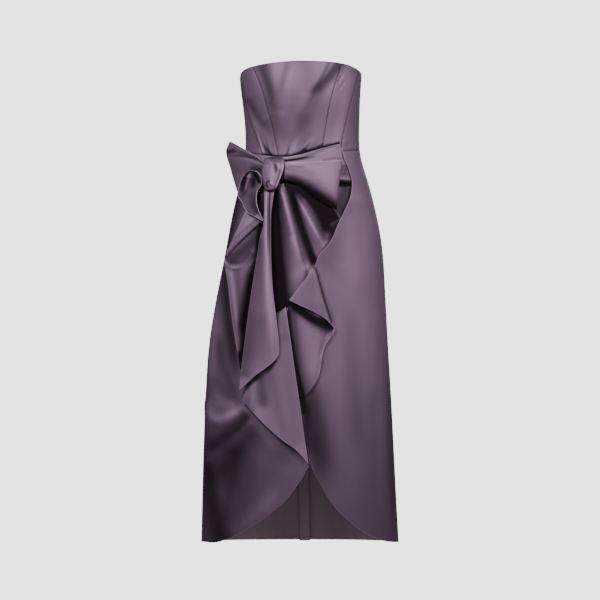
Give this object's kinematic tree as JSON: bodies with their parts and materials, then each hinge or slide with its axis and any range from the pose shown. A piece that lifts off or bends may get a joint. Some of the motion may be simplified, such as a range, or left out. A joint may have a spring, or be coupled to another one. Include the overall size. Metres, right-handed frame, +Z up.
{
  "type": "gown",
  "caption": "Strapless satin gown with a fitted bodice, a wrap skirt with a rounded hem, and a waist bow with draped ends.",
  "frame": {"origin": "middle of the waist, on the body's centre line, where the wearer's waist holds the gown", "axes": "+Z up, from hem to top edge; -Y towards the front; +X towards the wearer's left"},
  "size_m": [0.4758, 0.277, 1.1536],
  "materials": {
    "bodice_centre_front": "dusky plum satin, soft sheen",
    "bodice_side_front_right": "dusky plum satin, soft sheen",
    "bodice_side_front_left": "dusky plum satin, soft sheen",
    "bodice_back_left": "dusky plum satin, soft sheen",
    "bodice_back_right": "dusky plum satin, soft sheen",
    "skirt_back_left": "dusky plum satin, soft sheen",
    "skirt_back_right": "dusky plum satin, soft sheen",
    "skirt_underlap_right": "dusky plum satin, soft sheen",
    "skirt_overlap_left": "dusky plum satin, soft sheen",
    "skirt_back_seam_strip": "inside of the same satin, in shade",
    "sash_left": "dusky plum satin, soft sheen",
    "bow_loop_left": "dusky plum satin, soft sheen",
    "bow_loop_right": "dusky plum satin, soft sheen",
    "bow_curl_right": "dusky plum satin, soft sheen",
    "bow_knot": "dusky plum satin, soft sheen",
    "drape_fan": "dusky plum satin, soft sheen",
    "drape_point": "dusky plum satin, soft sheen",
    "drape_flap": "dusky plum satin, soft sheen",
    "drape_flounce": "dusky plum satin, soft sheen",
    "tail_side_right": "dusky plum satin, soft sheen",
    "tail_front": "dusky plum satin, soft sheen"
  },
  "bodies": {
    "root": {"bodice_centre_front": "bodice_centre_front", "bodice_side_front_right": "bodice_side_front_right", "bodice_side_front_left": "bodice_side_front_left", "bodice_back_left": "bodice_back_left", "bodice_back_right": "bodice_back_right", "skirt_back_left": "skirt_back_left", "skirt_back_right": "skirt_back_right", "skirt_underlap_right": "skirt_underlap_right", "skirt_overlap_left": "skirt_overlap_left", "skirt_back_seam_strip": "skirt_back_seam_strip", "sash_left": "sash_left", "bow_loop_left": "bow_loop_left", "bow_loop_right": "bow_loop_right", "bow_curl_right": "bow_curl_right", "bow_knot": "bow_knot", "drape_fan": "drape_fan", "drape_point": "drape_point", "drape_flap": "drape_flap", "drape_flounce": "drape_flounce", "tail_side_right": "tail_side_right", "tail_front": "tail_front"}
  },
  "joints": []
}
